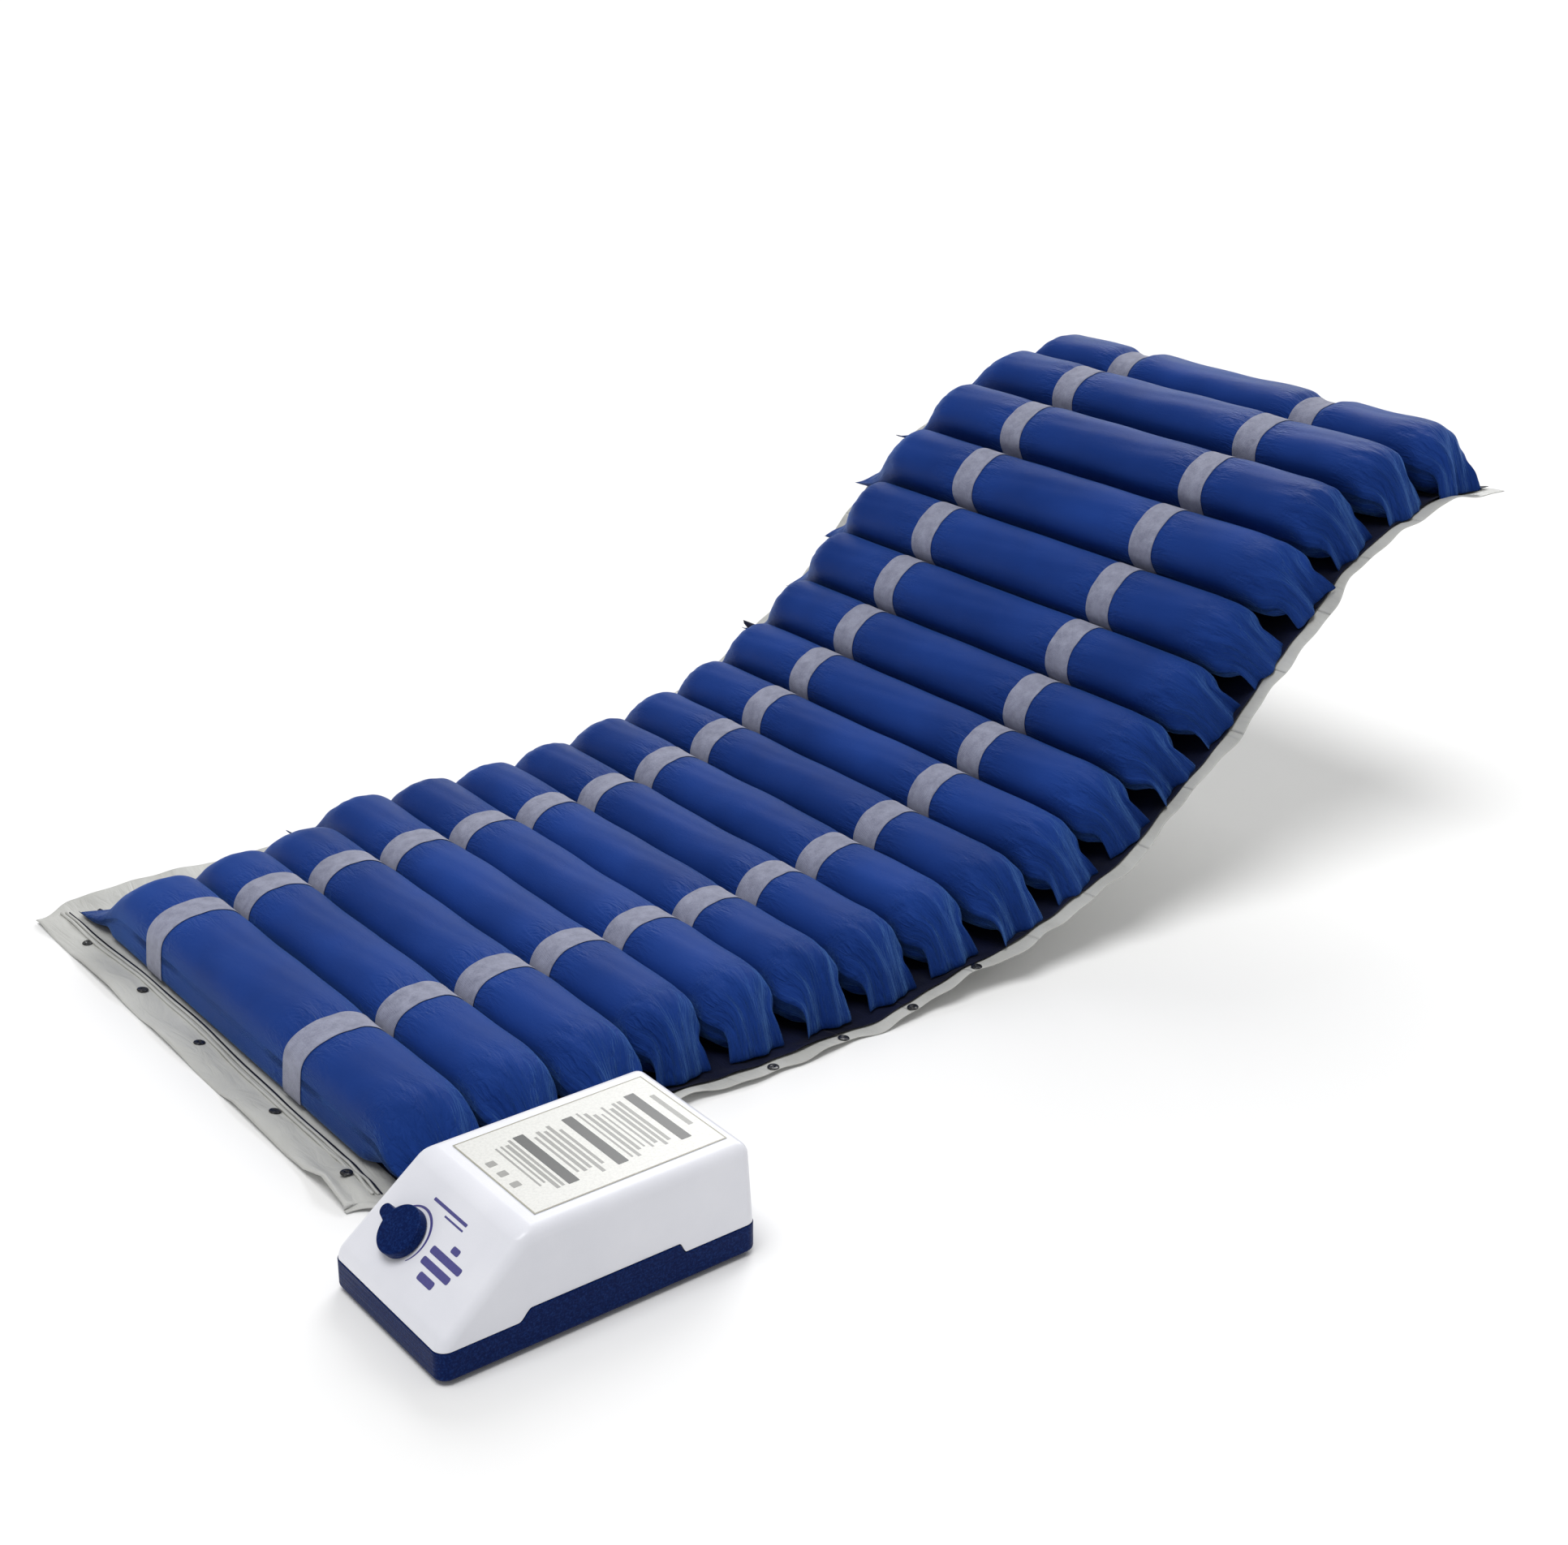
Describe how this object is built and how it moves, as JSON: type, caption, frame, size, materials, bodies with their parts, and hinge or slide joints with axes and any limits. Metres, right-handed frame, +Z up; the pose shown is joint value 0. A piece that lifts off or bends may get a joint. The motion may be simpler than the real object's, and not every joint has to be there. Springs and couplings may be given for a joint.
{
  "type": "pressure relief mattress",
  "caption": "Alternating air-cell overlay mattress with strapped tubular cells on a base sheet, its back raised in an S curve, with a boxy floor-standing air pump.",
  "frame": {"origin": "on the floor under the foot section, midway between the two rows of straps and under the axis of the foot-end air cell", "axes": "+X along the mattress towards the head end, +Z up, -Y towards the pump"},
  "size_m": [1.9078, 1.2235, 0.5947],
  "materials": {
    "cell_fabric": "satin blue coated nylon, fine lengthwise wrinkles",
    "base_sheet": "off-white coated sheet, soft sheen",
    "strap_webbing": "light grey woven band",
    "stud_metal": "dark lacquered press studs",
    "pump_white": "semi-gloss moulded casing",
    "pump_navy": "fine-textured moulded plastic",
    "label": "printed film",
    "rubber": "matte rubber",
    "filter_foam": "open-cell foam",
    "steel": "plain",
    "copper": "lacquered winding wire",
    "works_plastic": "plain moulded",
    "circuit_board": "solder-resist green"
  },
  "bodies": {
    "foot_section": {"air_cell_01": "cell_fabric", "air_cell_02": "cell_fabric", "air_cell_03": "cell_fabric", "air_cell_04": "cell_fabric", "air_cell_05": "cell_fabric", "air_cell_06": "cell_fabric", "base_sheet_foot": "base_sheet"},
    "back_link_07": {"base_strip_07": "base_sheet", "air_cell_07": "cell_fabric"},
    "back_link_08": {"base_strip_08": "base_sheet", "air_cell_08": "cell_fabric"},
    "back_link_09": {"base_strip_09": "base_sheet", "air_cell_09": "cell_fabric"},
    "back_link_10": {"base_strip_10": "base_sheet", "air_cell_10": "cell_fabric"},
    "back_link_11": {"base_strip_11": "base_sheet", "air_cell_11": "cell_fabric"},
    "back_link_12": {"base_strip_12": "base_sheet", "air_cell_12": "cell_fabric"},
    "back_link_13": {"base_strip_13": "base_sheet", "air_cell_13": "cell_fabric"},
    "back_link_14": {"base_strip_14": "base_sheet", "air_cell_14": "cell_fabric"},
    "back_link_15": {"base_strip_15": "base_sheet", "air_cell_15": "cell_fabric"},
    "back_link_16": {"base_strip_16": "base_sheet", "air_cell_16": "cell_fabric"},
    "back_link_17": {"base_strip_17": "base_sheet", "air_cell_17": "cell_fabric"},
    "back_link_18": {"base_strip_18": "base_sheet", "air_cell_18": "cell_fabric"},
    "knob": {"pressure_knob": "pump_navy"},
    "switch": {"mains_switch": "rubber"},
    "arm_left": {"swing_arm_left": "steel"},
    "arm_right": {"swing_arm_right": "steel"},
    "distributor": {"air_distributor": "works_plastic"},
    "pump": {"air_filter": "filter_foam", "air_outlet_a": "works_plastic", "air_outlet_b": "works_plastic", "case_screw_front_left": "steel", "case_screw_front_right": "steel", "case_screw_rear_left": "steel", "case_screw_rear_right": "steel", "circuit_board": "circuit_board", "diaphragm_left": "rubber", "diaphragm_right": "rubber", "distributor_motor": "steel", "magnet_coil": "copper", "magnet_core": "steel", "mains_gland": "rubber", "pressure_regulator": "works_plastic", "pump_base": "pump_navy", "pump_cover": "pump_white", "rating_label": "label", "rubber_foot_front_left": "rubber", "rubber_foot_front_right": "rubber", "rubber_foot_rear_left": "rubber", "rubber_foot_rear_right": "rubber", "valve_block_left": "works_plastic", "valve_block_right": "works_plastic"}
  },
  "joints": [
    {"name": "back_raise", "type": "hinge", "parent": "foot_section", "child": "back_link_07", "pos_m": [0.5775, 0, 0.001], "axis": [0, -1, 0], "range_deg": [-6.5, 1.3]},
    {"name": "back_bend_08", "type": "hinge", "parent": "back_link_07", "child": "back_link_08", "pos_m": [0.68183, 0, 0.01289], "axis": [0, -1, 0], "range_deg": [-3.55, 0.75]},
    {"name": "back_bend_09", "type": "hinge", "parent": "back_link_08", "child": "back_link_09", "pos_m": [0.78523, 0, 0.03112], "axis": [0, -1, 0], "range_deg": [-4.05, 0.85]},
    {"name": "back_bend_10", "type": "hinge", "parent": "back_link_09", "child": "back_link_10", "pos_m": [0.88711, 0, 0.05652], "axis": [0, -1, 0], "range_deg": [-8.05, 1.65]},
    {"name": "back_bend_11", "type": "hinge", "parent": "back_link_10", "child": "back_link_11", "pos_m": [0.98447, 0, 0.09585], "axis": [0, -1, 0], "range_deg": [-7.05, 1.45]},
    {"name": "back_bend_12", "type": "hinge", "parent": "back_link_11", "child": "back_link_12", "pos_m": [1.0763, 0, 0.14676], "axis": [0, -1, 0], "range_deg": [-6.55, 1.35]},
    {"name": "back_bend_13", "type": "hinge", "parent": "back_link_12", "child": "back_link_13", "pos_m": [1.16178, 0, 0.20773], "axis": [0, -1, 0], "range_deg": [-5.55, 1.15]},
    {"name": "back_bend_14", "type": "hinge", "parent": "back_link_13", "child": "back_link_14", "pos_m": [1.24103, 0, 0.27662], "axis": [0, -1, 0], "range_deg": [-3.55, 0.75]},
    {"name": "back_bend_15", "type": "hinge", "parent": "back_link_14", "child": "back_link_15", "pos_m": [1.31592, 0, 0.35021], "axis": [0, -1, 0], "range_deg": [-1.15, 5.55]},
    {"name": "back_bend_16", "type": "hinge", "parent": "back_link_15", "child": "back_link_16", "pos_m": [1.39752, 0, 0.41629], "axis": [0, -1, 0], "range_deg": [-2.25, 11.05]},
    {"name": "back_bend_17", "type": "hinge", "parent": "back_link_16", "child": "back_link_17", "pos_m": [1.49023, 0, 0.46559], "axis": [0, -1, 0], "range_deg": [-2.75, 13.55]},
    {"name": "back_bend_18", "type": "hinge", "parent": "back_link_17", "child": "back_link_18", "pos_m": [1.59188, 0, 0.49188], "axis": [0, -1, 0], "range_deg": [-2.55, 12.55]},
    {"name": "pump_slide", "type": "slide", "parent": "foot_section", "child": "pump", "axis": [0, -1, 0], "range_m": [0, 0.35]},
    {"name": "knob_turn", "type": "hinge", "parent": "pump", "child": "knob", "pos_m": [-0.14691, -0.61, 0.08177], "axis": [-0.6387, 0, 0.7695], "range_deg": [-240, 0]},
    {"name": "switch_rock", "type": "hinge", "parent": "pump", "child": "switch", "pos_m": [0.179, -0.664, 0.066], "axis": [0, 1, 0], "range_deg": [0, 14]},
    {"name": "arm_swing_left", "type": "hinge", "parent": "pump", "child": "arm_left", "pos_m": [-0.067, -0.611, 0.045], "axis": [0, 0, 1], "range_deg": [-2, 2]},
    {"name": "arm_swing_right", "type": "hinge", "parent": "pump", "child": "arm_right", "pos_m": [-0.067, -0.673, 0.045], "axis": [0, 0, 1], "range_deg": [-2.05, 2.05]},
    {"name": "distributor_spin", "type": "hinge", "parent": "pump", "child": "distributor", "pos_m": [0.103, -0.642, 0.0305], "axis": [0, 0, 1], "continuous": true}
  ],
  "couplings": [
    {"joint": "back_bend_08", "follows": "back_raise", "ratio": 0.53846},
    {"joint": "back_bend_09", "follows": "back_raise", "ratio": 0.61538},
    {"joint": "back_bend_10", "follows": "back_raise", "ratio": 1.2308},
    {"joint": "back_bend_11", "follows": "back_raise", "ratio": 1.0769},
    {"joint": "back_bend_12", "follows": "back_raise", "ratio": 1},
    {"joint": "back_bend_13", "follows": "back_raise", "ratio": 0.84615},
    {"joint": "back_bend_14", "follows": "back_raise", "ratio": 0.53846},
    {"joint": "back_bend_15", "follows": "back_raise", "ratio": -0.84615},
    {"joint": "back_bend_16", "follows": "back_raise", "ratio": -1.6923},
    {"joint": "back_bend_17", "follows": "back_raise", "ratio": -2.0769},
    {"joint": "back_bend_18", "follows": "back_raise", "ratio": -1.9231},
    {"joint": "arm_swing_right", "follows": "arm_swing_left", "ratio": -1}
  ]
}
